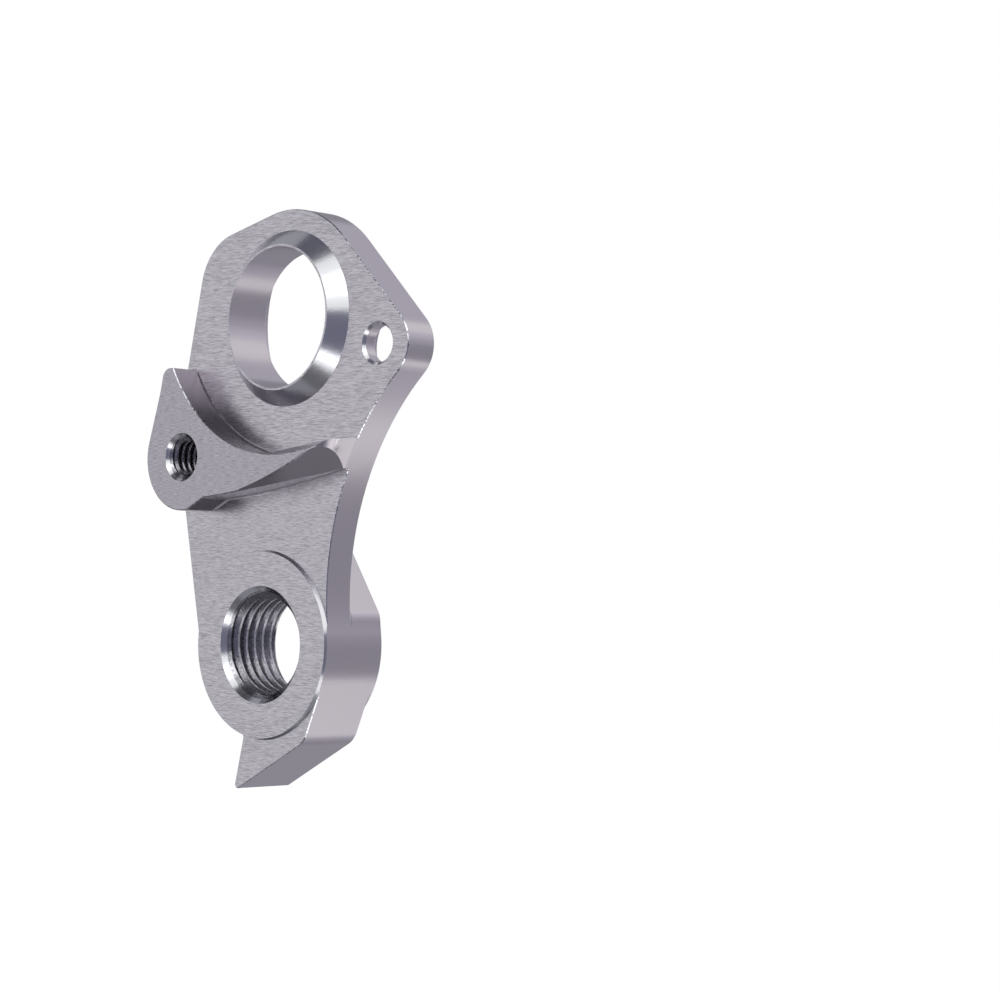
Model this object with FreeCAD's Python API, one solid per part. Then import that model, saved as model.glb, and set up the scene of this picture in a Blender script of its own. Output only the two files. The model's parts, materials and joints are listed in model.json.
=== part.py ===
import FreeCAD, Part
import math
import os

# Bicycle derailleur hanger, milled from one aluminium plate. The axle bore is on the Y axis,
# the hub seats on the plane Y = 0, outboard is -Y, forward is +X. Millimetres and degrees.

# Plate faces, measured outboard from the hub seat
CONE_TOP = 4.8
RIB_FACE = 6.3
UPPER_FACE = 3.4
DISC_FACE = 3.45
LOWER_FACE = 3.05

# Plate faces, measured inboard from the hub seat
SPINE_FACE = 3.8
TAIL_FACE = 3.3

# Axle bore and its cone
AXLE_BORE_R = 6.5
CONE_BASE_R = 8.1
CONE_LIP = 0.2
AXLE_EDGE_BREAK = 0.25

# Threaded hole of the derailleur bolt, plain at the thread's major diameter
DERAILLEUR_X = -2.65
DERAILLEUR_Z = -30.0
DERAILLEUR_THREAD_R = 5.0
DERAILLEUR_OUTER_SINK_R = 5.42
DERAILLEUR_INNER_SINK_R = 5.75

# Threaded hole in the ear
EAR_X = -11.0
EAR_Z = -12.7
EAR_THREAD_R = 2.0
EAR_OUTER_SINK_R = 2.28
EAR_INNER_SINK_R = 2.5

# Countersunk screw hole in the nose
NOSE_SCREW_X = 11.8
NOSE_SCREW_Z = -2.8
NOSE_SCREW_R = 1.7
NOSE_SCREW_BREAK = 0.25
SINK_LIP_R = 3.5
SINK_LIP_DEPTH = 0.45
SINK_R = 3.3

# Outline
CROWN_R = 10.05
NOSE_X = 12.35
NOSE_Z = -2.85
NOSE_R = 3.3
NECK_R = 26.4
DISC_R = 8.7
DISC_TOP_INSET = 0.1
DISC_EDGE_RUN = 0.15
SHOULDER_ANGLE = -22.7
SHOULDER_CORNER_R = 2.35
TAIL_TIP_X = -6.26
TAIL_TIP_Z = -43.75
TAIL_TIP_R = 0.37
TAIL_LINE_ANGLE = 28.5
TAIL_BACK_ANGLE = 77.0
TAIL_NOTCH_R = 0.45
EAR_R = 5.0
FLANK_INSET = 1.0
EAR_NOTCH_R = 0.5
BEND_X = -14.35
BEND_Z = -6.54
BEND_R = 12.0
CORNER_X = -6.76
CORNER_Z = 3.04
CORNER_R = 5.44

# Upper wall of the rib: the horn's flat top, an arc round the axle boss, then a straight run
HORN_TOP_Z = -4.27
HORN_TOP_FLAT = 0.55
HORN_CORNER_R = 1.0
RIB_ARC_R = 16.3
RIB_RUN_X = 4.0
RIB_RUN_Z = -12.55
RIB_RUN_ANGLE = 8.0
RIB_RUN_CHAMFER = 0.55
RIB_RUN_BLEND_R = 9.0

# Lower wall of the rib: round the ear to its foot, up a short ramp, then a long easy curve
RIB_FOOT_ANGLE = -80.0
RIB_RAMP_X = -7.85
RIB_RAMP_Z = -16.5
RIB_RAMP_BLEND_R = 1.5
RIB_UNDER_ANGLE = 5.5
RIB_UNDER_R = 119.0

# Small radius at the base of both walls
RIB_BASE_R = 0.15

# Slanted scoop under the rib: how far it bites into the rib's face, and how deep it goes
SCOOP_START_X = -5.5
SCOOP_START_BITE = -0.1
SCOOP_START_DEPTH = 0.3
SCOOP_MIDDLE_X = 1.5
SCOOP_MIDDLE_BITE = 0.9
SCOOP_MIDDLE_DEPTH = 0.6
SCOOP_FULL_X = 6.2
SCOOP_FULL_BITE = 2.05
SCOOP_FULL_DEPTH = 1.9
SCOOP_END_X = 10.5
SCOOP_END_BITE = 3.3
SCOOP_END_DEPTH = 3.5

# Hub seat recess: from the spine's flat top, an arc, then a straight wall down to the neck
SPINE_TOP_Z = 8.0
SEAT_X = -0.1
SEAT_Z = 0.6
SEAT_WALL_R = 10.4
SEAT_TOUCH_ANGLE = 213.6
SEAT_CORNER_R = 2.0

# Broken edges
EDGE_BREAK = 0.08
SEAT_EDGE_BREAK = 0.15
SEAT_CHAMFER = 0.33

# Room that a cutting tool has past the plate
OVERRUN = 60.0
CLEAR = 2.0

# Share of its own size by which the scoop is cut past the rib's face and wall
SCOOP_OVERRUN = 0.1

# Gap under which two places count as one
SAME = 0.001


def point(x, z):
    return FreeCAD.Vector(x, 0, z)


def heading(degrees):
    return point(math.cos(math.radians(degrees)), math.sin(math.radians(degrees)))


def left_of(direction):
    return point(-direction.z, direction.x)


def unit(vector):
    return vector * (1.0 / vector.Length)


def touching_line(centre_a, radius_a, side_a, centre_b, radius_b, side_b):
    # Ends of the line that touches both circles; a side of 1 keeps that circle on the right
    run = centre_b - centre_a
    lean = (side_a * radius_a - side_b * radius_b) / run.Length
    normal = left_of(unit(run)) * math.sqrt(1.0 - lean * lean) + unit(run) * lean
    return centre_a + normal * (side_a * radius_a), centre_b + normal * (side_b * radius_b)


def arc(centre, start, end, clockwise=True):
    first = math.atan2(start.z - centre.z, start.x - centre.x)
    last = math.atan2(end.z - centre.z, end.x - centre.x)
    if clockwise:
        sweep = -((first - last) % (2 * math.pi))
    else:
        sweep = (last - first) % (2 * math.pi)
    middle = first + sweep / 2
    radius = (start - centre).Length
    halfway = centre + point(math.cos(middle), math.sin(middle)) * radius
    return Part.Arc(start, halfway, end).toShape()


def line(start, end):
    return Part.LineSegment(start, end).toShape()


def crossing(point_a, direction_a, point_b, direction_b):
    gap = point_b - point_a
    cross = direction_a.x * direction_b.z - direction_a.z * direction_b.x
    along = (gap.x * direction_b.z - gap.z * direction_b.x) / cross
    return point_a + direction_a * along


def rounded_corner(before, corner, after, radius):
    # Start, middle and end of the arc that rounds a corner between two straight runs
    back = unit(before - corner)
    ahead = unit(after - corner)
    half = back.getAngle(ahead) / 2
    inward = unit(back + ahead)
    trim = radius / math.tan(half)
    middle = corner + inward * (radius / math.sin(half) - radius)
    return corner + back * trim, middle, corner + ahead * trim


def inside_corner(start, direction, centre, circle_r, radius):
    # Arc that eases a straight run into a circle met from outside, the part being on the right
    offset = start + left_of(direction) * radius - centre
    half = offset.dot(direction)
    spare = offset.Length ** 2 - (circle_r + radius) ** 2
    travel = -half - math.sqrt(half * half - spare)
    ease_centre = start + left_of(direction) * radius + direction * travel
    leave = start + direction * travel
    reach = centre + (ease_centre - centre) * (circle_r / (circle_r + radius))
    bulge = unit((leave - ease_centre) + (reach - ease_centre))
    return leave, ease_centre + bulge * radius, reach


def first_meeting(start, direction, centre, radius):
    offset = start - centre
    half = offset.dot(direction)
    return start + direction * (-half - math.sqrt(half * half - offset.Length ** 2 + radius ** 2))


def resting_centre(centre_a, radius_a, centre_b, radius_b, radius):
    # Centre of a circle that touches two others from outside, on their left going from a to b
    reach_a = radius_a + radius
    run = centre_b - centre_a
    along = (run.Length ** 2 + reach_a ** 2 - (radius_b + radius) ** 2) / (2 * run.Length)
    aside = math.sqrt(reach_a ** 2 - along ** 2)
    return centre_a + unit(run) * along + left_of(unit(run)) * aside


AXLE = point(0, 0)
DERAILLEUR = point(DERAILLEUR_X, DERAILLEUR_Z)
EAR = point(EAR_X, EAR_Z)
NOSE = point(NOSE_X, NOSE_Z)
NOSE_SCREW = point(NOSE_SCREW_X, NOSE_SCREW_Z)
CORNER = point(CORNER_X, CORNER_Z)
BEND = point(BEND_X, BEND_Z)
TAIL_TIP = point(TAIL_TIP_X, TAIL_TIP_Z)
NECK = resting_centre(NOSE, NOSE_R, DERAILLEUR, DISC_R, NECK_R)


def head_edges():
    corner_end, crown_start = touching_line(CORNER, CORNER_R, 1, AXLE, CROWN_R, 1)
    crown_end, nose_start = touching_line(AXLE, CROWN_R, 1, NOSE, NOSE_R, 1)
    neck_start = NOSE + unit(NECK - NOSE) * NOSE_R
    neck_end = DERAILLEUR + unit(NECK - DERAILLEUR) * DISC_R
    edges = [line(corner_end, crown_start), arc(AXLE, crown_start, crown_end)]
    edges += [line(crown_end, nose_start), arc(NOSE, nose_start, neck_start)]
    edges += [arc(NECK, neck_start, neck_end, clockwise=False)]
    return edges, corner_end, neck_end


def tail_notch():
    return inside_corner(TAIL_TIP, heading(TAIL_BACK_ANGLE), DERAILLEUR, DISC_R, TAIL_NOTCH_R)


def tail_edges(neck_end):
    shoulder = DERAILLEUR + heading(SHOULDER_ANGLE) * DISC_R
    down = heading(SHOULDER_ANGLE - 90)
    back = heading(TAIL_BACK_ANGLE)
    corner = crossing(shoulder, down, TAIL_TIP, heading(TAIL_LINE_ANGLE))
    a1, a2, a3 = rounded_corner(shoulder, corner, TAIL_TIP, SHOULDER_CORNER_R)
    b1, b2, b3 = rounded_corner(corner, TAIL_TIP, TAIL_TIP + back, TAIL_TIP_R)
    c1, c2, c3 = tail_notch()
    edges = [arc(DERAILLEUR, neck_end, shoulder), line(shoulder, a1)]
    edges += [Part.Arc(a1, a2, a3).toShape(), line(a3, b1)]
    edges += [Part.Arc(b1, b2, b3).toShape(), line(b3, c1), Part.Arc(c1, c2, c3).toShape()]
    return edges, c3


def flank_line():
    # The flank touches the disc and passes inside the ear's outer side
    return touching_line(DERAILLEUR, DISC_R, 1, EAR, EAR_R - FLANK_INSET, 1)


def ear_notch():
    flank_start, flank_end = flank_line()
    return inside_corner(flank_start, unit(flank_end - flank_start), EAR, EAR_R, EAR_NOTCH_R)


def flank_edges(notch_end, corner_end):
    flank_start = flank_line()[0]
    d1, d2, d3 = ear_notch()
    ear_end, bend_in = touching_line(EAR, EAR_R, 1, BEND, 0, 1)
    bend_out, corner_start = touching_line(BEND, 0, 1, CORNER, CORNER_R, 1)
    e1, e2, e3 = rounded_corner(ear_end, BEND, corner_start, BEND_R)
    edges = [arc(DERAILLEUR, notch_end, flank_start), line(flank_start, d1)]
    edges += [Part.Arc(d1, d2, d3).toShape(), arc(EAR, d3, ear_end), line(ear_end, e1)]
    edges += [Part.Arc(e1, e2, e3).toShape(), line(e3, corner_start)]
    edges += [arc(CORNER, corner_start, corner_end)]
    return edges


def outline_wire():
    head, corner_end, neck_end = head_edges()
    tail, notch_end = tail_edges(neck_end)
    return Part.Wire(head + tail + flank_edges(notch_end, corner_end))


def between(wire, low, high):
    # Solid of a flat outline, from one distance outboard of the hub seat to another
    placed = wire.copy()
    placed.translate(FreeCAD.Vector(0, -low, 0))
    return Part.Face(placed).extrude(FreeCAD.Vector(0, low - high, 0))


def round_bar(centre, radius, low, high):
    start = FreeCAD.Vector(centre.x, -low, centre.z)
    return Part.makeCylinder(radius, high - low, start, FreeCAD.Vector(0, -1, 0))


def taper(centre, low_radius, high_radius, low, high):
    start = FreeCAD.Vector(centre.x, -low, centre.z)
    return Part.makeCone(low_radius, high_radius, high - low, start, FreeCAD.Vector(0, -1, 0))


def horn_corner():
    # Start, middle and end of the arc that rounds the horn, from the flank to its flat top
    bend, corner_start = touching_line(BEND, 0, 1, CORNER, CORNER_R, 1)
    corner = crossing(bend, corner_start - bend, point(0, HORN_TOP_Z), heading(0))
    return rounded_corner(bend, corner, corner + heading(0), HORN_CORNER_R)


def rib_lip():
    # Where the horn's flat top ends
    return horn_corner()[2] + point(HORN_TOP_FLAT, 0)


def rib_arc_centre():
    # The arc starts at the horn's top and ends along the straight run on the rib's face
    rise = heading(RIB_RUN_ANGLE)
    beyond = point(RIB_RUN_X, RIB_RUN_Z) + left_of(rise) * RIB_ARC_R + rise * OVERRUN
    return first_meeting(beyond, rise * -1, rib_lip(), RIB_ARC_R)


def rib_run_start():
    # Where the straight run leaves the arc on the rib's face
    return rib_arc_centre() + heading(RIB_RUN_ANGLE - 90) * RIB_ARC_R


def rib_upper_wall():
    # Pocket side of the rib's upper wall, closed far above the part
    h1, h2, h3 = horn_corner()
    outside = h1 - point(OVERRUN, 0)
    centre = rib_arc_centre()
    lip = rib_lip()
    rise = heading(RIB_RUN_ANGLE)
    run_end = rib_run_start() + left_of(rise) * RIB_RUN_CHAMFER + rise * OVERRUN
    # The blend lies inside the arc and above the run
    base = run_end + left_of(rise) * RIB_RUN_BLEND_R
    blend = first_meeting(base, rise, centre, RIB_ARC_R - RIB_RUN_BLEND_R)
    blend_start = centre + unit(blend - centre) * RIB_ARC_R
    blend_end = blend - left_of(rise) * RIB_RUN_BLEND_R
    top_left = outside + point(0, OVERRUN)
    top_right = point(run_end.x, top_left.z)
    edges = [line(outside, h1), Part.Arc(h1, h2, h3).toShape(), line(h3, lip)]
    edges += [arc(centre, lip, blend_start, clockwise=False)]
    edges += [arc(blend, blend_start, blend_end, clockwise=False), line(blend_end, run_end)]
    edges += [line(run_end, top_right), line(top_right, top_left), line(top_left, outside)]
    return Part.Wire(edges)


def ramp_top():
    # Start, middle and end of the arc between the ramp and the long curve under the rib
    foot = EAR + heading(RIB_FOOT_ANGLE) * EAR_R
    corner = point(RIB_RAMP_X, RIB_RAMP_Z)
    return rounded_corner(foot, corner, corner + heading(RIB_UNDER_ANGLE), RIB_RAMP_BLEND_R)


def under_wall(x):
    # Point of the long curve under the rib
    centre = ramp_top()[2] + left_of(heading(RIB_UNDER_ANGLE)) * RIB_UNDER_R
    return point(x, centre.z - math.sqrt(RIB_UNDER_R ** 2 - (x - centre.x) ** 2))


def rib_lower_wall():
    # Pocket side of the rib's lower wall, closed far below the part
    notch = ear_notch()[2]
    foot = EAR + heading(RIB_FOOT_ANGLE) * EAR_R
    f1, f2, f3 = ramp_top()
    under_end = under_wall(OVERRUN / 2)
    left = notch - point(OVERRUN, 0)
    low_left = left - point(0, OVERRUN)
    low_right = point(under_end.x, low_left.z)
    under = Part.Arc(f3, under_wall(OVERRUN / 4), under_end).toShape()
    edges = [line(left, notch), arc(EAR, notch, foot, clockwise=False), line(foot, f1)]
    edges += [Part.Arc(f1, f2, f3).toShape(), under, line(under_end, low_right)]
    edges += [line(low_right, low_left), line(low_left, left)]
    return Part.Wire(edges)


def seat_wall():
    # Recess side of the hub seat wall, closed far in front of the part
    centre = point(SEAT_X, SEAT_Z)
    touch = centre + heading(SEAT_TOUCH_ANGLE) * SEAT_WALL_R
    far = touch + heading(SEAT_TOUCH_ANGLE + 90) * (2 * OVERRUN)
    outside = point(-OVERRUN, SPINE_TOP_Z)
    top = first_meeting(outside, heading(0), centre, SEAT_WALL_R)
    above = outside + point(0, OVERRUN)
    front = point(2 * OVERRUN, above.z)
    corner = point(front.x, far.z)
    edges = [arc(centre, top, touch, clockwise=False), line(touch, far), line(far, corner)]
    edges += [line(corner, front), line(front, above), line(above, outside), line(outside, top)]
    return Part.Wire(edges)


def scoop_section(x, bite, depth):
    # Slanted line through the rib's face and its lower wall, closed outside the rib
    wall = under_wall(x)
    beyond = 1 + SCOOP_OVERRUN
    high = FreeCAD.Vector(x, -RIB_FACE - SCOOP_OVERRUN * depth, wall.z + beyond * bite)
    low = FreeCAD.Vector(x, -RIB_FACE + beyond * depth, wall.z - SCOOP_OVERRUN * bite)
    outside = min(high.z, low.z) - CLEAR
    high_corner = FreeCAD.Vector(x, high.y, outside)
    low_corner = FreeCAD.Vector(x, low.y, outside)
    return Part.makePolygon([high, low, low_corner, high_corner, high])


def scoop():
    sections = [scoop_section(SCOOP_START_X, SCOOP_START_BITE, SCOOP_START_DEPTH)]
    sections += [scoop_section(SCOOP_MIDDLE_X, SCOOP_MIDDLE_BITE, SCOOP_MIDDLE_DEPTH)]
    sections += [scoop_section(SCOOP_FULL_X, SCOOP_FULL_BITE, SCOOP_FULL_DEPTH)]
    sections += [scoop_section(SCOOP_END_X, SCOOP_END_BITE, SCOOP_END_DEPTH)]
    return Part.makeLoft(sections, True, False)


def rib_end_rounding():
    # Rounds the rib's face down to the neck, about the neck's own centre
    radius = RIB_FACE - UPPER_FACE
    inner = NECK_R + radius
    top = -RIB_FACE
    slope = radius * (1 - math.sqrt(0.5))
    low = FreeCAD.Vector(-NECK_R, top + radius, 0)
    middle = FreeCAD.Vector(-NECK_R - slope, top + slope, 0)
    high = FreeCAD.Vector(-inner, top, 0)
    lift = FreeCAD.Vector(0, -CLEAR, 0)
    shift = FreeCAD.Vector(CLEAR, 0, 0)
    edges = [Part.Arc(low, middle, high).toShape(), line(high, high + lift)]
    edges += [line(high + lift, low + lift + shift + FreeCAD.Vector(0, -radius, 0))]
    edges += [line(low + lift + shift + FreeCAD.Vector(0, -radius, 0), low + shift)]
    edges += [line(low + shift, low)]
    profile = Part.Face(Part.Wire(edges))
    profile.translate(NECK)
    return profile.revolve(NECK, FreeCAD.Vector(0, 1, 0), 50)


def slab(top, low):
    # The whole outline up to one outboard face, its upper edge broken
    solid = between(outline_wire(), low, top)
    return solid.makeChamfer(EDGE_BREAK, edges_along(solid, outline_wire(), top))


def disc():
    # The derailleur's seat stands proud of the lower face on a slanted edge, inside the outline
    top_r = DISC_R - DISC_TOP_INSET
    foot_r = top_r + DISC_EDGE_RUN
    bar = round_bar(DERAILLEUR, foot_r, -SPINE_FACE, LOWER_FACE)
    top = taper(DERAILLEUR, foot_r, top_r, LOWER_FACE, DISC_FACE)
    return bar.fuse(top).common(between(outline_wire(), -SPINE_FACE, DISC_FACE))


def outboard_side():
    below = between(rib_lower_wall(), -SPINE_FACE - CLEAR, RIB_FACE + CLEAR)
    upper = slab(UPPER_FACE, -SPINE_FACE).cut(below)
    lower = slab(LOWER_FACE, -SPINE_FACE)
    return ease_rib_base(lower.fuse([disc(), upper, rib(below)]).removeSplitter())


def ease_rib_base(body):
    # The cutter's corner leaves a small radius where the rib's walls meet the faces beside it
    foot = EAR + heading(RIB_FOOT_ANGLE) * EAR_R
    under = edges_along(body, rib_lower_wall(), LOWER_FACE)
    chosen = edges_along(body, rib_upper_wall(), UPPER_FACE)
    chosen += [edge for edge in under if middle_of(edge).x > foot.x]
    return body.makeFillet(RIB_BASE_R, chosen)


def rib(below):
    solid = between(outline_wire(), -SPINE_FACE, RIB_FACE).cut(below)
    solid = solid.cut(between(rib_upper_wall(), -SPINE_FACE - CLEAR, RIB_FACE + CLEAR))
    solid = solid.makeChamfer(EDGE_BREAK, edges_at(solid, RIB_FACE))
    solid = solid.cut(rib_run_chamfer())
    solid = solid.cut(rib_end_rounding())
    return solid.cut(scoop())


def slanted_bar(length):
    # Prism along the straight run, slanted from the rib's face down into its upper wall
    along = heading(RIB_RUN_ANGLE)
    up = left_of(along)
    out = FreeCAD.Vector(0, -CLEAR, 0)
    start = rib_run_start() + FreeCAD.Vector(0, -RIB_FACE, 0)
    high = start - up * CLEAR + out
    low = start + up * (RIB_RUN_CHAMFER + CLEAR) - out * (1 + RIB_RUN_CHAMFER / CLEAR)
    corner = start + up * (RIB_RUN_CHAMFER + CLEAR) + out
    return Part.Face(Part.makePolygon([high, low, corner, high])).extrude(along * length)


def rib_run_chamfer():
    # Along the run the cut is open ended; towards the arc it dies out inside the arc
    round_side = round_bar(rib_arc_centre(), RIB_ARC_R, UPPER_FACE, RIB_FACE + CLEAR)
    return [slanted_bar(OVERRUN), slanted_bar(-RIB_ARC_R).common(round_side)]


def tail_wedge():
    # Sector under the disc, from the shoulder to the notch
    front = DERAILLEUR + heading(SHOULDER_ANGLE) * OVERRUN
    notch = tail_notch()[2]
    back = DERAILLEUR + unit(notch - DERAILLEUR) * OVERRUN
    low_front = point(front.x, back.z)
    return Part.makePolygon([DERAILLEUR, front, low_front, back, DERAILLEUR])


def inboard_side(body):
    body = body.cut(between(seat_wall(), -SPINE_FACE - CLEAR, 0))
    tail = between(tail_wedge(), -SPINE_FACE - CLEAR, -TAIL_FACE)
    tail = tail.cut(round_bar(DERAILLEUR, DISC_R, -SPINE_FACE - 2 * CLEAR, 0))
    body = body.cut(tail).removeSplitter()
    body = body.makeChamfer(SEAT_EDGE_BREAK, edges_along(body, outline_wire(), 0))
    body = body.makeFillet(SEAT_CORNER_R, seat_corner(body))
    spine = edges_along(body, outline_wire(), -SPINE_FACE)
    back = [edge for edge in spine if middle_of(edge).x < tail_notch()[2].x]
    return chamfer_seat_wall(body.makeChamfer(EDGE_BREAK, back))


def seat_corner(body):
    # Upright edge where the seat wall runs out at the neck
    chosen = []
    for edge in body.Edges:
        box = edge.BoundBox
        upright = box.XLength < SAME and box.ZLength < SAME
        if upright and middle_of(edge).y > 0 and middle_of(edge).x > DERAILLEUR_X:
            chosen.append(edge)
    return chosen


def add_cone(body):
    return body.fuse(taper(AXLE, CONE_BASE_R, AXLE_BORE_R + CONE_LIP, UPPER_FACE, CONE_TOP))


def plain_hole(body, centre, radius):
    return body.cut(round_bar(centre, radius, -SPINE_FACE - CLEAR, RIB_FACE + CLEAR))


def outer_sink(body, centre, radius, wide, face):
    return body.cut(taper(centre, radius, wide + CLEAR, face - (wide - radius), face + CLEAR))


def inner_sink(body, centre, radius, wide, face):
    return body.cut(taper(centre, wide + CLEAR, radius, -face - CLEAR, -face + (wide - radius)))


def derailleur_hole(body):
    body = plain_hole(body, DERAILLEUR, DERAILLEUR_THREAD_R)
    body = outer_sink(body, DERAILLEUR, DERAILLEUR_THREAD_R, DERAILLEUR_OUTER_SINK_R, DISC_FACE)
    return inner_sink(body, DERAILLEUR, DERAILLEUR_THREAD_R, DERAILLEUR_INNER_SINK_R, SPINE_FACE)


def ear_hole(body):
    body = plain_hole(body, EAR, EAR_THREAD_R)
    body = outer_sink(body, EAR, EAR_THREAD_R, EAR_OUTER_SINK_R, RIB_FACE)
    return inner_sink(body, EAR, EAR_THREAD_R, EAR_INNER_SINK_R, SPINE_FACE)


def axle_hole(body):
    body = plain_hole(body, AXLE, AXLE_BORE_R)
    return inner_sink(body, AXLE, AXLE_BORE_R, AXLE_BORE_R + AXLE_EDGE_BREAK, 0)


def nose_hole(body):
    body = plain_hole(body, NOSE_SCREW, NOSE_SCREW_R)
    body = outer_sink(body, NOSE_SCREW, NOSE_SCREW_R, NOSE_SCREW_R + NOSE_SCREW_BREAK, UPPER_FACE)
    body = body.cut(round_bar(NOSE_SCREW, SINK_LIP_R, -CLEAR, SINK_LIP_DEPTH))
    depth = SINK_LIP_DEPTH + SINK_R - NOSE_SCREW_R
    return body.cut(taper(NOSE_SCREW, SINK_R, NOSE_SCREW_R, SINK_LIP_DEPTH, depth))


def middle_of(edge):
    return edge.valueAt((edge.FirstParameter + edge.LastParameter) / 2)


def edges_at(body, height):
    # Edges of the body that lie flat at a distance outboard of the seat
    chosen = []
    for edge in body.Edges:
        box = edge.BoundBox
        if abs(box.YMin + height) < SAME and abs(box.YMax + height) < SAME:
            chosen.append(edge)
    return chosen


def edges_along(body, wire, height):
    # Edges at that distance which also lie on a flat outline
    placed = wire.copy()
    placed.translate(FreeCAD.Vector(0, -height, 0))
    chosen = []
    for edge in edges_at(body, height):
        if placed.distToShape(Part.Vertex(middle_of(edge)))[0] < SAME:
            chosen.append(edge)
    return chosen


def disc_wire():
    return Part.Wire(Part.makeCircle(DISC_R, DERAILLEUR, FreeCAD.Vector(0, 1, 0)))


def chamfer_seat_wall(body):
    # The chamfer follows the seat wall, the neck's foot and the disc, as far as the tail notch
    chosen = edges_along(body, seat_wall(), -SPINE_FACE)
    rim = edges_along(body, outline_wire(), -SPINE_FACE) + edges_along(body, disc_wire(), -SPINE_FACE)
    notch = tail_notch()[2]
    for edge in rim:
        repeat = [other for other in chosen if other.isSame(edge)]
        if middle_of(edge).x > notch.x and not repeat:
            chosen.append(edge)
    return body.makeChamfer(SEAT_CHAMFER, chosen)


def make_body():
    body = inboard_side(outboard_side())
    body = add_cone(body)
    body = axle_hole(body)
    body = derailleur_hole(body)
    body = ear_hole(body)
    body = nose_hole(body)
    return body.removeSplitter()


os.makedirs("parts", exist_ok=True)
hanger = make_body()
hanger.exportStep("parts/hanger_body.step")
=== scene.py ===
import json
import math
from types import SimpleNamespace

import bmesh
import bpy
from mathutils import Matrix, Vector


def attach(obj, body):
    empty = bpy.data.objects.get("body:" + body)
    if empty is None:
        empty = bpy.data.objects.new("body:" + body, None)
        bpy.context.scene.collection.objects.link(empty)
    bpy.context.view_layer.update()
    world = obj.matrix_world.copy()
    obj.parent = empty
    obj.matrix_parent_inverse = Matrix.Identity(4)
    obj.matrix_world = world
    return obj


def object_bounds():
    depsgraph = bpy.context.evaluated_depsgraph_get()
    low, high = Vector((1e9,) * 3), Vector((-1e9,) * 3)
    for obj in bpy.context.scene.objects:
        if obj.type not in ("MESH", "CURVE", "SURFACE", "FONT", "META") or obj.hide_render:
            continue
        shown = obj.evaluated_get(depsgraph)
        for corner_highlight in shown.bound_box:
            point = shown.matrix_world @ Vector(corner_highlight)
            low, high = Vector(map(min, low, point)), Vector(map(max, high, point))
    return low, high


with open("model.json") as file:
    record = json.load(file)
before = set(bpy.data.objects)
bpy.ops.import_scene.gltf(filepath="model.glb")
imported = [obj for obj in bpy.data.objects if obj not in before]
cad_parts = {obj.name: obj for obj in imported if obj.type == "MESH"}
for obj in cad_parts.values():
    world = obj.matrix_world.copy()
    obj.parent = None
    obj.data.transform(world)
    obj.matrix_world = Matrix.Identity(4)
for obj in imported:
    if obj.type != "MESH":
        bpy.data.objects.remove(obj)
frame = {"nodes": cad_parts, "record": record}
cad_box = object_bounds()

# The hanger: one piece, milled all over from aluminium plate and clear anodised to a satin grey.
# Its faces keep the fine cross grain of the plate, and its walls are smooth from the cutter's side.
# The axle cone, the countersinks and the edge breaks were cut last, so they are bright.

# Sizes are in millimetres. Outboard faces lie below y = 0, where the hub seats, and inboard ones above.
millimetre = 0.001
rib_face_y = cad_box[0][1] / millimetre
spine_y = cad_box[1][1] / millimetre
lower_face_y = -3.05
seat_y = 0.0


def hole(name):
    """Place of a hole's axis in the plate, x and z, and its radius."""
    mount = next(mount for mount in frame["record"]["mounts"] if mount["name"] == name)
    x, _, z = (value / millimetre for value in mount["pos_m"])
    return x, z, mount["dims"]["r_mm"]


def add_node(tree, kind, inputs=None, **settings):
    node = tree.nodes.new(kind)
    for name, value in settings.items():
        setattr(node, name, value)
    for name, value in (inputs or {}).items():
        node.inputs[name].default_value = value
    return node


def math_node(tree, operation, *values, clamp=False):
    node = add_node(tree, "ShaderNodeMath", operation=operation, use_clamp=clamp)
    for socket, value in zip(node.inputs, values):
        if isinstance(value, (int, float)):
            socket.default_value = value
        else:
            tree.links.new(value, socket)
    return node.outputs[0]


def direction_share(tree, vector, direction):
    """How far a vector goes in a direction."""
    node = add_node(tree, "ShaderNodeVectorMath", operation="DOT_PRODUCT")
    tree.links.new(vector, node.inputs[0])
    node.inputs[1].default_value = direction
    return node.outputs["Value"]


def ramp(tree, value, start, end, bottom=0.0, top=1.0):
    """Goes from bottom to top as the value goes from start to end."""
    limits = {"From Min": start, "From Max": end, "To Min": bottom, "To Max": top}
    node = add_node(tree, "ShaderNodeMapRange", limits)
    tree.links.new(value, node.inputs["Value"])
    return node.outputs[0]


def noise(tree, place, scale, detail, roughness=0.5):
    node = add_node(tree, "ShaderNodeTexNoise", {"Scale": scale, "Detail": detail, "Roughness": roughness})
    tree.links.new(place, node.inputs["Vector"])
    return node.outputs["Fac"]


def both(tree, *masks):
    """1 where every mask is 1."""
    result = masks[0]
    for mask in masks[1:]:
        result = math_node(tree, "MULTIPLY", result, mask)
    return result


def either(tree, *masks):
    """1 where any mask is 1."""
    result = masks[0]
    for mask in masks[1:]:
        result = math_node(tree, "MAXIMUM", result, mask)
    return result


def between(tree, value, low, high):
    """1 where a value lies between low and high."""
    return both(tree, math_node(tree, "GREATER_THAN", value, low), math_node(tree, "LESS_THAN", value, high))


def blend(tree, mask, first, second):
    """Colour that goes from first to second as the mask rises."""
    mix = add_node(tree, "ShaderNodeMix", data_type="RGBA")
    tree.links.new(mask, mix.inputs["Factor"])
    for socket, colour in ((mix.inputs["A"], first), (mix.inputs["B"], second)):
        if isinstance(colour, tuple):
            socket.default_value = colour
        else:
            tree.links.new(colour, socket)
    return mix.outputs["Result"]


def step_roughness(tree, mask, first, second):
    """Roughness that goes from first to second as the mask rises."""
    mix = add_node(tree, "ShaderNodeMix", {"B": second})
    tree.links.new(mask, mix.inputs["Factor"])
    if isinstance(first, float):
        mix.inputs["A"].default_value = first
    else:
        tree.links.new(first, mix.inputs["A"])
    return mix.outputs["Result"]


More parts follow.
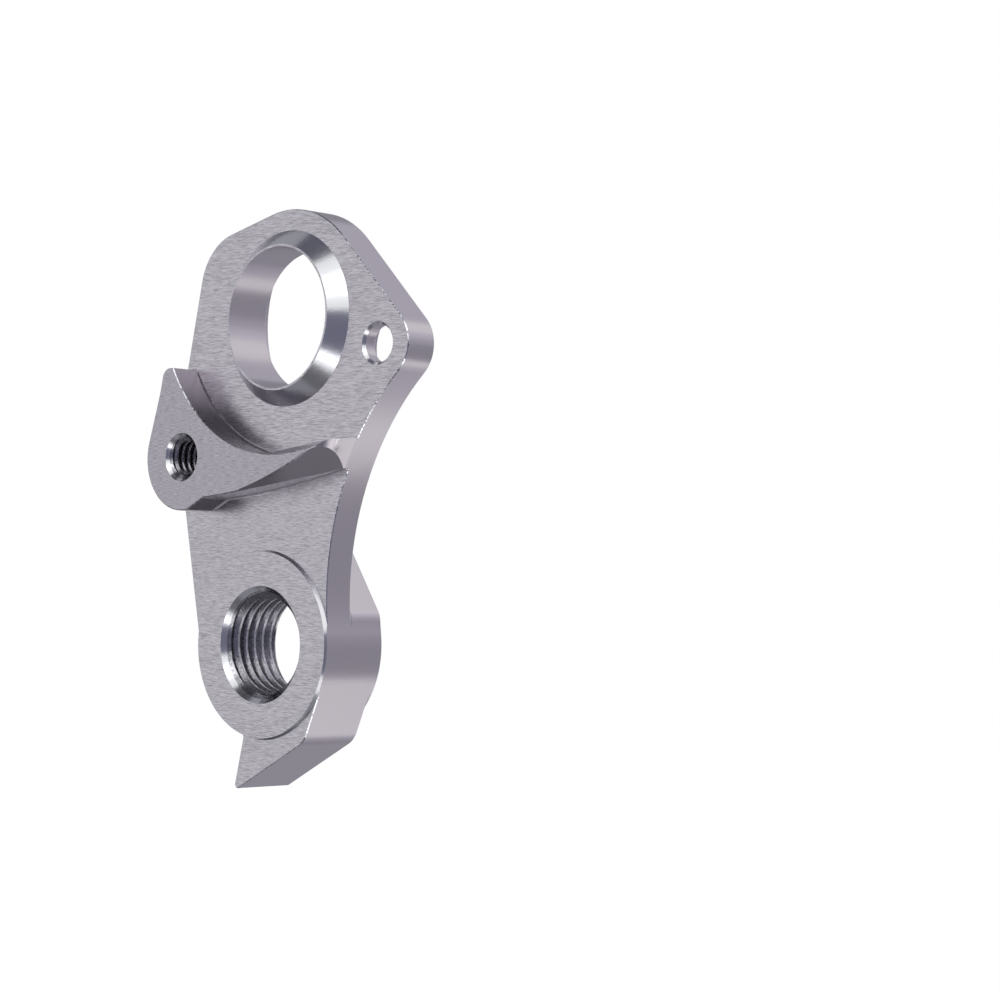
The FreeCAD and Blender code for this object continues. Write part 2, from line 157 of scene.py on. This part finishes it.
def place_in_millimetres(tree):
    place = add_node(tree, "ShaderNodeTexCoord")
    scaled = add_node(tree, "ShaderNodeVectorMath", operation="SCALE")
    scaled.inputs["Scale"].default_value = 1 / millimetre
    tree.links.new(place.outputs["Object"], scaled.inputs[0])
    return scaled.outputs[0]


scratch_darkness = 0.8


def grain_group():
    """Short streaks left along the plate, with deeper dark scratches here and there."""
    tree = bpy.data.node_groups.new("plate_grain", "ShaderNodeTree")
    tree.interface.new_socket("Position", in_out="INPUT", socket_type="NodeSocketVector")
    tree.interface.new_socket("Length", in_out="INPUT", socket_type="NodeSocketFloat")
    tree.interface.new_socket("Width", in_out="INPUT", socket_type="NodeSocketFloat")
    tree.interface.new_socket("Tone", in_out="OUTPUT", socket_type="NodeSocketFloat")
    tree.interface.new_socket("Height", in_out="OUTPUT", socket_type="NodeSocketFloat")
    given = add_node(tree, "NodeGroupInput")
    spot = add_node(tree, "ShaderNodeSeparateXYZ")
    tree.links.new(given.outputs["Position"], spot.inputs[0])
    stretched = add_node(tree, "ShaderNodeCombineXYZ")
    for axis, size in (("X", "Length"), ("Y", "Width"), ("Z", "Width")):
        shrunk = math_node(tree, "DIVIDE", spot.outputs[axis], given.outputs[size])
        tree.links.new(shrunk, stretched.inputs[axis])
    streak = noise(tree, stretched.outputs[0], scale=1.0, detail=2.0, roughness=0.6)
    scratch = noise(tree, stretched.outputs[0], scale=0.55, detail=3.0, roughness=0.75)
    light = ramp(tree, streak, start=0.3, end=0.62)
    dark = ramp(tree, scratch, start=0.57, end=0.72, top=scratch_darkness)
    tone = math_node(tree, "SUBTRACT", light, dark, clamp=True)
    result = add_node(tree, "NodeGroupOutput")
    tree.links.new(tone, result.inputs["Tone"])
    tree.links.new(streak, result.inputs["Height"])
    return tree


plate_grain = grain_group()


# Beside the inboard wall the cutter left its marks: fine arcs across the hub seat and, further down
# the neck, darker strips with round ends, side by side, each of them one pass.
seat_centre = Vector((-0.1, 0.0, 0.6))
seat_radius = 10.4
wall_slope = math.radians(33.6)
wall_side = Vector((math.cos(wall_slope), 0.0, math.sin(wall_slope)))
wall_run = Vector((math.sin(wall_slope), 0.0, -math.cos(wall_slope)))
wall_start = seat_centre - wall_side * seat_radius
strip_start = 12.2
strip_pitch = 3.0
first_strip = 3.5
strip_edge_shade = 0.4
strip_middle_shade = 0.95
strip_middle = 0.7
arc_radius = 3.0
arc_pitch = 0.3
arc_low = 1.5
arc_high = 4.4
arc_fade_low = 0.5
arc_fade_high = 1.0
band_width = 1.6


def strip_shade(tree, along, away):
    """How dark a strip is: most along its middle, and nothing above its half round end."""
    half = strip_pitch / 2
    across = math_node(tree, "WRAP", math_node(tree, "SUBTRACT", away, first_strip), half, -half)
    room = math_node(tree, "SUBTRACT", half * half, math_node(tree, "MULTIPLY", across, across))
    reach = math_node(tree, "SQRT", math_node(tree, "MAXIMUM", room, 0.0))
    begun = math_node(tree, "GREATER_THAN", math_node(tree, "ADD", along, reach), strip_start + half)
    clear_of_wall = math_node(tree, "GREATER_THAN", away, first_strip - half)
    to_side = math_node(tree, "DIVIDE", math_node(tree, "ABSOLUTE", across), half)
    from_side = math_node(tree, "SUBTRACT", 1.0, to_side)
    shade = ramp(tree, from_side, 0.0, strip_middle, bottom=strip_edge_shade, top=strip_middle_shade)
    return both(tree, begun, clear_of_wall, shade)


def arc_height(tree, along, away):
    """Ridges that bow down the wall, above the strips, and fade on both sides."""
    side = math_node(tree, "SUBTRACT", away, (arc_low + arc_high) / 2)
    room = math_node(tree, "SUBTRACT", arc_radius * arc_radius, math_node(tree, "MULTIPLY", side, side))
    bow = math_node(tree, "SQRT", math_node(tree, "MAXIMUM", room, 0.0))
    phase = math_node(tree, "MULTIPLY", math_node(tree, "SUBTRACT", along, bow), 2 * math.pi / arc_pitch)
    ridge = math_node(tree, "SINE", phase)
    rise = ramp(tree, away, start=arc_low - arc_fade_low, end=arc_low + arc_fade_low)
    fall = ramp(tree, away, start=arc_high + arc_fade_high, end=arc_high - arc_fade_high)
    return both(tree, ridge, rise, fall, math_node(tree, "LESS_THAN", along, strip_start))


def tool_mark_group():
    """The marks, from places on the seat, and the distance from the wall."""
    tree = bpy.data.node_groups.new("tool_marks", "ShaderNodeTree")
    tree.interface.new_socket("Position", in_out="INPUT", socket_type="NodeSocketVector")
    for name in ("Strips", "Arcs", "Band", "Away"):
        tree.interface.new_socket(name, in_out="OUTPUT", socket_type="NodeSocketFloat")
    given = add_node(tree, "NodeGroupInput")
    offset = add_node(tree, "ShaderNodeVectorMath", operation="SUBTRACT")
    tree.links.new(given.outputs["Position"], offset.inputs[0])
    offset.inputs[1].default_value = wall_start
    along = direction_share(tree, offset.outputs["Vector"], wall_run)
    away = direction_share(tree, offset.outputs["Vector"], wall_side)
    band = both(tree, math_node(tree, "LESS_THAN", along, strip_start),
                math_node(tree, "LESS_THAN", away, band_width))
    result = add_node(tree, "NodeGroupOutput")
    tree.links.new(strip_shade(tree, along, away), result.inputs["Strips"])
    tree.links.new(arc_height(tree, along, away), result.inputs["Arcs"])
    tree.links.new(band, result.inputs["Band"])
    tree.links.new(away, result.inputs["Away"])
    return tree


tool_marks = tool_mark_group()


# The tilt of a face is the share of its normal that lies along y: 1 on the plate's faces, 0 on walls
flat_tilt = 0.97
slanted_tilt = (0.62, 0.79)


def surface_point(tree):
    """Where a point of the metal is and how its face is turned."""
    place = place_in_millimetres(tree)
    spot = add_node(tree, "ShaderNodeSeparateXYZ")
    tree.links.new(place, spot.inputs[0])
    geometry = add_node(tree, "ShaderNodeNewGeometry")
    normal = geometry.outputs["True Normal"]
    turned = add_node(tree, "ShaderNodeSeparateXYZ")
    tree.links.new(normal, turned.inputs[0])
    tilt = math_node(tree, "ABSOLUTE", turned.outputs["Y"])
    return SimpleNamespace(
        place=place,
        x=spot.outputs["X"],
        y=spot.outputs["Y"],
        z=spot.outputs["Z"],
        normal=normal,
        normal_x=turned.outputs["X"],
        normal_y=turned.outputs["Y"],
        normal_z=turned.outputs["Z"],
        tilt=tilt,
        flat=math_node(tree, "GREATER_THAN", tilt, flat_tilt),
        slanted=between(tree, tilt, *slanted_tilt),
    )


def round_axis(tree, point, x, z, radius):
    """1 inside a radius round an axis that runs through the plate."""
    side = math_node(tree, "SUBTRACT", point.x, x)
    rise = math_node(tree, "SUBTRACT", point.z, z)
    side = math_node(tree, "MULTIPLY", side, side)
    rise = math_node(tree, "MULTIPLY", rise, rise)
    return math_node(tree, "LESS_THAN", math_node(tree, "ADD", side, rise), radius * radius)


# How far the cone or the countersink reaches beyond the radius of its hole
bright_reach = {"axle_bore": 1.75, "derailleur_thread": 0.9, "ear_thread": 0.65, "nose_screw_hole": 1.9}


def round_the_holes(tree, point):
    """1 on the cone and the countersinks, and on what else is that close to a hole."""
    masks = []
    for name, reach in bright_reach.items():
        x, z, radius = hole(name)
        masks.append(round_axis(tree, point, x, z, radius + reach))
    return either(tree, *masks)


disc_edge_tilt = (0.2, 0.45)
disc_edge_radius = 9.0
disc_edge_margin = 0.05


def disc_edge(tree, point):
    """The steep edge of the disc that the derailleur seats on."""
    x, z, _ = hole("derailleur_thread")
    steep = between(tree, point.tilt, *disc_edge_tilt)
    outboard = math_node(tree, "LESS_THAN", point.y, lower_face_y + disc_edge_margin)
    return both(tree, steep, round_axis(tree, point, x, z, disc_edge_radius), outboard)


# The part of the plate that holds the rib's scoop
scoop_z = (-20.0, -10.6)
scoop_right = 9.0


def under_the_rib(tree, point):
    return both(tree, between(tree, point.z, *scoop_z), math_node(tree, "LESS_THAN", point.x, scoop_right))


# Heights between which the rib's own slopes lie, over each of the two outboard faces
upper_slope_y = (-6.2, -3.405)
lower_slope_y = (-6.2, -3.06)


def edge_breaks(tree, point, near_holes):
    """Narrow edge breaks along the outline; the rib's own slopes are left out, for they are satin."""
    upper_slope = between(tree, point.y, *upper_slope_y)
    lower_slope = both(tree, between(tree, point.y, *lower_slope_y), under_the_rib(tree, point))
    outside_holes = math_node(tree, "SUBTRACT", 1.0, near_holes)
    outside_rib = math_node(tree, "SUBTRACT", 1.0, either(tree, upper_slope, lower_slope))
    return both(tree, point.slanted, outside_holes, outside_rib)


# The height of the scoop's foot, and the ways in which it faces
foot_y = (-3.22, -3.052)
foot_downward = -0.1
foot_rightward = 0.5
foot_tilt = 0.985


def painted_foot_highlight(tree, point):
    """A painted highlight: the thin pale line at the foot of the rib's underside, where its edge would catch
    the light.
    """
    return both(tree, between(tree, point.y, *foot_y),
                under_the_rib(tree, point),
                math_node(tree, "LESS_THAN", point.normal_z, foot_downward),
                math_node(tree, "LESS_THAN", point.normal_x, foot_rightward),
                math_node(tree, "LESS_THAN", point.tilt, foot_tilt))


# Where the rounded end lies. Its gloss comes in along x.
rib_end_tilt = 0.58
rib_end_y = (-6.4, -3.5)
rib_end_z = (-15.5, -10.5)
rib_end_x = (2.5, 6.5)


def rib_end(tree, point):
    """The rib's rounded end by the neck, burnished smooth."""
    return both(tree, math_node(tree, "LESS_THAN", point.tilt, rib_end_tilt),
                between(tree, point.y, *rib_end_y),
                between(tree, point.z, *rib_end_z),
                ramp(tree, point.x, *rib_end_x))


# How near the wall or its arc a face of the corner lies, how high it goes, and how it faces
wall_tilt = 0.05
wall_reach = 0.4
arc_reach = 0.3
corner_size = 0.14
seatward = 0.3


def wall_corner(tree, point, away):
    """Where the small radius between the hub seat and the wall beside it lies; it takes the bright colour as
    a painted highlight.
    """
    by_straight = between(tree, away, -wall_reach, wall_reach)
    by_arc = round_axis(tree, point, seat_centre.x, seat_centre.z, seat_radius + arc_reach)
    towards_seat = math_node(tree, "GREATER_THAN", direction_share(tree, point.normal, wall_side), seatward)
    return both(tree, math_node(tree, "LESS_THAN", point.tilt, wall_tilt),
                between(tree, point.y, seat_y, seat_y + corner_size),
                either(tree, by_straight, by_arc), towards_seat)


face_light = (0.54, 0.52, 0.575, 1.0)
face_dark = (0.27, 0.26, 0.29, 1.0)
rib_face_light = (0.44, 0.42, 0.475, 1.0)
rib_face_dark = (0.25, 0.235, 0.27, 1.0)
wall_colour = (0.55, 0.51, 0.555, 1.0)
bright_colour = (0.80, 0.805, 0.84, 1.0)
nick_colour = (0.30, 0.30, 0.33, 1.0)
# Colour of the painted highlight along the foot of the rib's underside
foot_highlight_colour = (0.66, 0.64, 0.68, 1.0)
strip_colour = (0.17, 0.165, 0.19, 1.0)
face_roughness = 0.26
wall_roughness = 0.26
bright_roughness = 0.18
foot_highlight_roughness = 0.5
band_roughness = 0.12

# A point within this height of a face belongs to the face
rib_face_skin = 0.02
seat_skin = 0.05
spine_skin = 0.2

# Size of the grain's streaks, and the share that each relief has in the bump
streak_width = 0.045
face_streak = 0.8
spine_streak = 5.0
grain_depth = 1.0
chatter_depth = 3.5
wave_depth = 14.0
arc_depth = 1.2
corner_depth = 140.0
speckle_depth = 0.5
bump_strength = 0.35
bump_distance = 0.02 * millimetre


def hanger_material():
    material = bpy.data.materials.new("satin_anodised_aluminium")
    material.use_nodes = True
    tree = material.node_tree
    shader = tree.nodes["Principled BSDF"]
    shader.inputs["Metallic"].default_value = 1.0
    point = surface_point(tree)

    near_holes = round_the_holes(tree, point)
    polished = either(tree, both(tree, point.slanted, near_holes), disc_edge(tree, point))
    broken = edge_breaks(tree, point, near_holes)
    foot_highlight = painted_foot_highlight(tree, point)
    burnished = rib_end(tree, point)
    marks = add_node(tree, "ShaderNodeGroup", node_tree=tool_marks)
    tree.links.new(point.place, marks.inputs["Position"])
    seat = both(tree, point.flat, math_node(tree, "GREATER_THAN", point.normal_y, 0.0),
                between(tree, point.y, seat_y - seat_skin, seat_y + seat_skin))
    corner_highlight = wall_corner(tree, point, marks.outputs["Away"])

    # The streaks are longer on the spine's inboard face, which was brushed along
    grain = add_node(tree, "ShaderNodeGroup", {"Width": streak_width}, node_tree=plate_grain)
    spine = math_node(tree, "GREATER_THAN", point.y, spine_y - spine_skin)
    length = math_node(tree, "MULTIPLY_ADD", spine, spine_streak - face_streak, face_streak)
    tree.links.new(length, grain.inputs["Length"])
    tree.links.new(point.place, grain.inputs["Position"])

    chatter = noise(tree, point.place, scale=3.0, detail=1.0, roughness=0.6)
    wave = noise(tree, point.place, scale=0.8, detail=0.0)
    speckle = noise(tree, point.place, scale=6.0, detail=2.0)
    stipple = noise(tree, point.place, scale=7.0, detail=2.0, roughness=0.6)
    stipple = ramp(tree, stipple, start=0.4, end=0.6, bottom=0.55)

    tone = grain.outputs["Tone"]
    rib_face = math_node(tree, "LESS_THAN", point.y, rib_face_y + rib_face_skin)
    grained = blend(tree, tone, face_dark, face_light)
    rib_grained = blend(tree, tone, rib_face_dark, rib_face_light)
    face = blend(tree, rib_face, grained, rib_grained)
    face = blend(tree, both(tree, seat, marks.outputs["Strips"], stipple), face, strip_colour)
    nicked = blend(tree, ramp(tree, chatter, start=0.36, end=0.48), nick_colour, bright_colour)
    colour = blend(tree, point.flat, wall_colour, face)
    # Painted highlight: a pale line along the foot of the rib's underside
    colour = blend(tree, foot_highlight, colour, foot_highlight_colour)
    colour = blend(tree, broken, colour, nicked)
    # The cone, countersinks and disc edge are bright cut; the corner beside the hub seat takes the same
    # colour as a painted highlight
    colour = blend(tree, either(tree, polished, corner_highlight), colour, bright_colour)
    tree.links.new(colour, shader.inputs["Base Color"])

    rough = step_roughness(tree, point.flat, wall_roughness, face_roughness)
    rough = step_roughness(tree, both(tree, seat, marks.outputs["Band"]), rough, band_roughness)
    rough = step_roughness(tree, foot_highlight, rough, foot_highlight_roughness)
    rough = step_roughness(tree, either(tree, polished, corner_highlight, broken, burnished), rough, bright_roughness)
    tree.links.new(rough, shader.inputs["Roughness"])

    to_corner_top = math_node(tree, "SUBTRACT", seat_y + corner_size, point.y)
    reliefs = (
        (grain.outputs["Height"], point.flat, grain_depth),
        (chatter, broken, chatter_depth),
        (wave, burnished, wave_depth),
        (marks.outputs["Arcs"], seat, arc_depth),
        (to_corner_top, corner_highlight, corner_depth),
        (speckle, polished, speckle_depth),
    )
    height = 0.0
    for relief, mask, depth in reliefs:
        height = math_node(tree, "MULTIPLY_ADD", both(tree, relief, mask), depth, height)
    bump = add_node(tree, "ShaderNodeBump", {"Strength": bump_strength, "Distance": bump_distance})
    tree.links.new(height, bump.inputs["Height"])
    tree.links.new(bump.outputs["Normal"], shader.inputs["Normal"])
    return material


hanger = frame["nodes"]["hanger_body"]
hanger.data.materials.clear()
hanger.data.materials.append(hanger_material())


# The thread for the derailleur bolt: a 60 degree thread of 1 mm pitch, tapped through the disc.
# The solid has its hole plain at the major diameter, and this is the metal between the grooves.
# It starts and ends in the countersinks, and was left bright by the tap.
thread_depth = 0.5413
thread_clearance = 0.015
groove_end = 1 / 16
crest_start = 3 / 8
profile_steps = 4
weld = 0.0005
sharp_edge = math.radians(28)
derailleur_pitch = 1.0
derailleur_thread_ends = (-3.03, 3.05)
derailleur_turn_steps = 128
# The thread's colours are darkened as painted shade of the deep grooves; the blend between them differs at
# random
thread_dark = (0.31, 0.305, 0.335, 1.0)
thread_light = (0.54, 0.535, 0.58, 1.0)
thread_roughness = 0.2
thread_bump = 0.4


def thread_profile():
    """Places along one pitch, each with its share of the thread's depth: groove, flank, crest, flank."""
    flank = (crest_start - groove_end) / profile_steps
    crest = (1 - 2 * crest_start) / profile_steps
    rising = [(groove_end + flank * i, i / profile_steps) for i in range(1, profile_steps)]
    top = [(crest_start + crest * i, 1.0) for i in range(profile_steps + 1)]
    falling = [(1 - crest_start + flank * i, 1 - i / profile_steps) for i in range(1, profile_steps)]
    return [(-groove_end, 0.0), (groove_end, 0.0)] + rising + top + falling


def thread_column(name, pitch, ends, share):
    """Points along the side of a hole, a share of a turn round it; the ends run out at 45 degrees."""
    x, z, major = hole(name)
    outer, inner = ends
    angle = 2 * math.pi * share
    column = []
    for lap in range(math.ceil((inner - outer) / pitch) + 2):
        for place, rise in thread_profile():
            y = outer + pitch * (lap - 1 + place + share)
            y = min(max(y, outer), inner)
            inset = min(thread_depth * pitch * rise, y - outer, inner - y)
            radius = major - thread_clearance - inset
            column.append(Vector((x + radius * math.cos(angle), y, z + radius * math.sin(angle))))
    return column


def tapped_thread(name, pitch, ends, turn_steps):
    """The thread of one hole, as a piece of its own."""
    body = bmesh.new()
    columns = []
    for step in range(turn_steps + 1):
        spots = thread_column(name, pitch, ends, step / turn_steps)
        columns.append([body.verts.new(spot * millimetre) for spot in spots])
    for near, far in zip(columns, columns[1:]):
        for i in range(len(near) - 1):
            body.faces.new((near[i], far[i], far[i + 1], near[i + 1]))
    bmesh.ops.remove_doubles(body, verts=body.verts, dist=weld * millimetre)
    mesh = bpy.data.meshes.new(name)
    body.to_mesh(mesh)
    body.free()
    for polygon in mesh.polygons:
        polygon.use_smooth = True
    mesh.set_sharp_from_angle(angle=sharp_edge)
    piece = bpy.data.objects.new(name, mesh)
    bpy.context.scene.collection.objects.link(piece)
    return piece


def thread_material():
    """Bright metal, a little torn by the tap, its colours darkened as painted shade of the deep grooves."""
    material = bpy.data.materials.new("bright_cut_thread")
    material.use_nodes = True
    tree = material.node_tree
    shader = tree.nodes["Principled BSDF"]
    shader.inputs["Metallic"].default_value = 1.0
    shader.inputs["Roughness"].default_value = thread_roughness
    torn = noise(tree, place_in_millimetres(tree), scale=4.0, detail=3.0, roughness=0.7)
    colour = blend(tree, ramp(tree, torn, start=0.38, end=0.62), thread_dark, thread_light)
    tree.links.new(colour, shader.inputs["Base Color"])
    bump = add_node(tree, "ShaderNodeBump", {"Strength": thread_bump, "Distance": bump_distance})
    tree.links.new(torn, bump.inputs["Height"])
    tree.links.new(bump.outputs["Normal"], shader.inputs["Normal"])
    return material


bright_cut = thread_material()
derailleur_thread = tapped_thread(
    "derailleur_thread", derailleur_pitch, derailleur_thread_ends, derailleur_turn_steps)
derailleur_thread.data.materials.append(bright_cut)
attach(derailleur_thread, "root")


# The thread in the ear: 0.7 mm pitch, for a small screw. It is tapped in the same way, right through
# the ear, and is as bright.
ear_pitch = 0.7
ear_thread_ends = (-6.02, 3.3)
ear_turn_steps = 72

ear_thread = tapped_thread("ear_thread", ear_pitch, ear_thread_ends, ear_turn_steps)
ear_thread.data.materials.append(bright_cut)
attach(ear_thread, "root")


# The studio: a white floor well below the hanger, a white room round it, and two soft lamps that
# give the cone and the countersinks their highlights.
floor_z = -0.33
floor_size = 6.0
floor_colour = (0.9, 0.9, 0.9, 1.0)
floor_roughness = 0.9
floor_glow = 0.52
room_light_on_hanger = 0.55
white = (1.0, 1.0, 1.0, 1.0)


def white_to_the_lens(tree):
    """1 for a ray that sees the room directly, in metal or through glass."""
    path = add_node(tree, "ShaderNodeLightPath")
    return either(tree, path.outputs["Is Camera Ray"], path.outputs["Is Glossy Ray"],
                  path.outputs["Is Transmission Ray"])


def floor_material():
    material = bpy.data.materials.new("white_floor")
    material.use_nodes = True
    tree = material.node_tree
    shader = tree.nodes["Principled BSDF"]
    shader.inputs["Base Color"].default_value = floor_colour
    shader.inputs["Roughness"].default_value = floor_roughness
    shader.inputs["Specular IOR Level"].default_value = 0.0
    shader.inputs["Emission Color"].default_value = white
    glow = math_node(tree, "MULTIPLY", white_to_the_lens(tree), floor_glow)
    tree.links.new(glow, shader.inputs["Emission Strength"])
    return material


bpy.ops.mesh.primitive_plane_add(size=floor_size, location=(0.0, 0.0, floor_z))
floor = bpy.context.object
floor.name = "floor"
floor.data.materials.append(floor_material())

world = bpy.data.worlds.new("white_room")
bpy.context.scene.world = world
world.use_nodes = True
room = world.node_tree
background = room.nodes["Background"]
background.inputs["Color"].default_value = white
room_strength = math_node(
    room, "MULTIPLY_ADD", white_to_the_lens(room), 1 - room_light_on_hanger, room_light_on_hanger)
room.links.new(room_strength, background.inputs["Strength"])


def softbox(name, place, width, height, radiance):
    light = bpy.data.lights.new(name, "AREA")
    light.shape = "RECTANGLE"
    light.size = width
    light.size_y = height
    light.energy = radiance * math.pi * width * height
    lamp = bpy.data.objects.new(name, light)
    lamp.location = place
    lamp.rotation_euler = (-Vector(place)).to_track_quat("-Z", "Y").to_euler()
    bpy.context.scene.collection.objects.link(lamp)


softbox("key_lamp", (0.15, -0.19, 0.17), width=0.16, height=0.10, radiance=1.3)
softbox("low_lamp", (0.13, -0.18, -0.175), width=0.14, height=0.05, radiance=1.0)


# Grey cards stand round the hanger, where only the metal sees them, so that its walls, chamfers and
# cone show soft light and dark bands. Each is a piece of one large ball, given by its angles.
card_distance = 0.32
card_centre = Vector((-0.002, 0.0, -0.017))
card_steps = 24
black = (0.0, 0.0, 0.0, 1.0)


def card_mesh(name, left, right, low, high):
    """A piece of the ball, from left to right and from low to high, in degrees."""
    body = bmesh.new()
    rows = []
    for i in range(card_steps + 1):
        rise = math.radians(low + (high - low) * i / card_steps)
        row = []
        for j in range(card_steps + 1):
            turn = math.radians(left + (right - left) * j / card_steps)
            away = Vector((math.cos(turn) * math.cos(rise), math.sin(turn) * math.cos(rise), math.sin(rise)))
            row.append(body.verts.new(card_centre + card_distance * away))
        rows.append(row)
    for lower, upper in zip(rows, rows[1:]):
        for j in range(card_steps):
            body.faces.new((lower[j], lower[j + 1], upper[j + 1], upper[j]))
    mesh = bpy.data.meshes.new(name)
    body.to_mesh(mesh)
    body.free()
    return mesh


def card_material(name, shade, blueness):
    material = bpy.data.materials.new(name)
    material.use_nodes = True
    shader = material.node_tree.nodes["Principled BSDF"]
    shader.inputs["Base Color"].default_value = black
    shader.inputs["Roughness"].default_value = 1.0
    shader.inputs["Specular IOR Level"].default_value = 0.0
    shader.inputs["Emission Color"].default_value = (shade, shade, shade * blueness, 1.0)
    shader.inputs["Emission Strength"].default_value = 1.0
    return material


def grey_card(place, left, right, low, high, shade, blueness=1.1):
    name = "card_" + place
    mesh = card_mesh(name, left, right, low, high)
    mesh.materials.append(card_material(name, shade, blueness))
    card = bpy.data.objects.new(name, mesh)
    bpy.context.scene.collection.objects.link(card)
    card.visible_camera = False
    card.visible_diffuse = False
    card.visible_shadow = False
    card.visible_transmission = False


grey_card("at_eye_level", -100, 20, -33, 12, shade=0.155, blueness=1.36)
grey_card("behind_at_eye_level", 20, 98, -30, 4, shade=0.40)
grey_card("behind_above_eye_level", 24, 98, 4, 16, shade=0.54)
grey_card("behind_high", 24, 72, 16, 28, shade=0.74)
grey_card("behind_low", 68, 96, -52, -36, shade=0.58)
grey_card("overhead", -180, 180, 64, 90, shade=0.12, blueness=1.25)
grey_card("underneath", -20, 255, -90, -52, shade=0.24)
grey_card("front_underneath", -105, -20, -90, -47, shade=0.13)
grey_card("left_high", 122, 204, 12, 64, shade=0.33)
grey_card("left_level", 128, 148, -14, 12, shade=0.25)
grey_card("left_below_eye_level", 116, 148, -30, -14, shade=0.36)
grey_card("left_low", 148, 205, -52, 5, shade=0.12)
grey_card("front_low", 205, 262, -52, -25, shade=0.12)
grey_card("front_high", 204, 268, 30, 64, shade=0.07)
grey_card("back_high", 72, 122, 28, 64, shade=0.62)
grey_card("back_low", 96, 138, -52, -30, shade=0.42)


# The camera looks at the outboard face from the front, a little from below. Its distance and offset
# are in millimetres, and its focal length is in pixels of a square picture.
view_azimuth = math.radians(42.54)
view_elevation = math.radians(-1.75)
view_roll = math.radians(1.23)
view_distance = 238.0
view_offset = (-17.21, 16.53)
focal_pixels = 2567.0
image_pixels = 1000
sensor_width = 36.0

backward = Vector((
    math.sin(view_azimuth) * math.cos(view_elevation),
    -math.cos(view_azimuth) * math.cos(view_elevation),
    math.sin(view_elevation),
))
rightward = Vector((math.cos(view_azimuth), math.sin(view_azimuth), 0.0))
upward = backward.cross(rightward)
camera_right = rightward * math.cos(view_roll) + upward * math.sin(view_roll)
camera_up = upward * math.cos(view_roll) - rightward * math.sin(view_roll)
camera_place = backward * view_distance - camera_right * view_offset[0] - camera_up * view_offset[1]
camera_data = bpy.data.cameras.new("photo_camera")
camera_data.sensor_width = sensor_width
camera_data.lens = focal_pixels / image_pixels * sensor_width
camera = bpy.data.objects.new("photo_camera", camera_data)
camera_axes = Matrix((camera_right, camera_up, backward)).transposed()
camera.matrix_world = Matrix.Translation(camera_place * millimetre) @ camera_axes.to_4x4()
bpy.context.scene.collection.objects.link(camera)
bpy.context.scene.camera = camera
bpy.context.scene.view_settings.view_transform = "Standard"
